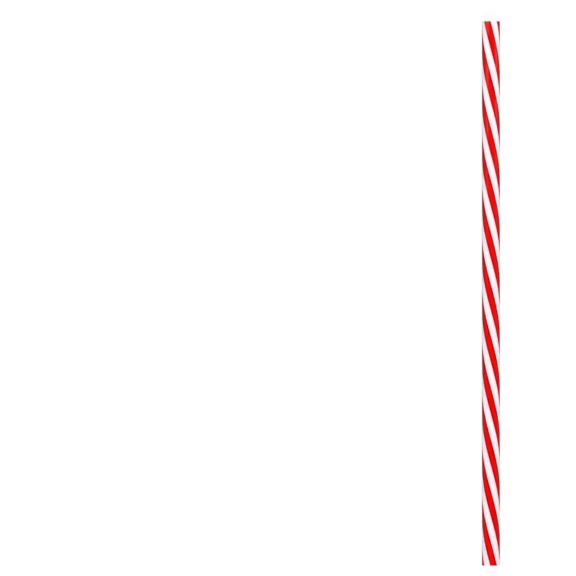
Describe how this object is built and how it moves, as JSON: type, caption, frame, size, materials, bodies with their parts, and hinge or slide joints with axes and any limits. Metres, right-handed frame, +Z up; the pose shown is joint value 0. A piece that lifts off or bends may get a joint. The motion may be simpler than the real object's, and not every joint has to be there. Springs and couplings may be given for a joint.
{
  "type": "reusable drinking straw",
  "caption": "Straight rigid plastic drinking straw, a plain round tube cut square at both ends, in red and white stripes that spiral along its length.",
  "frame": {"origin": "on the surface the straw lies on, under the middle of its length", "axes": "+Y along the straw's axis, +Z up from the surface it lies on, +X across the straw"},
  "size_m": [0.0076, 0.23, 0.0076],
  "materials": {
    "striped_plastic": "smooth glossy extruded plastic, slightly translucent, in spiral stripes of red and milky white of nearly equal width"
  },
  "bodies": {
    "root": {"straw_tube": "striped_plastic"}
  },
  "joints": []
}
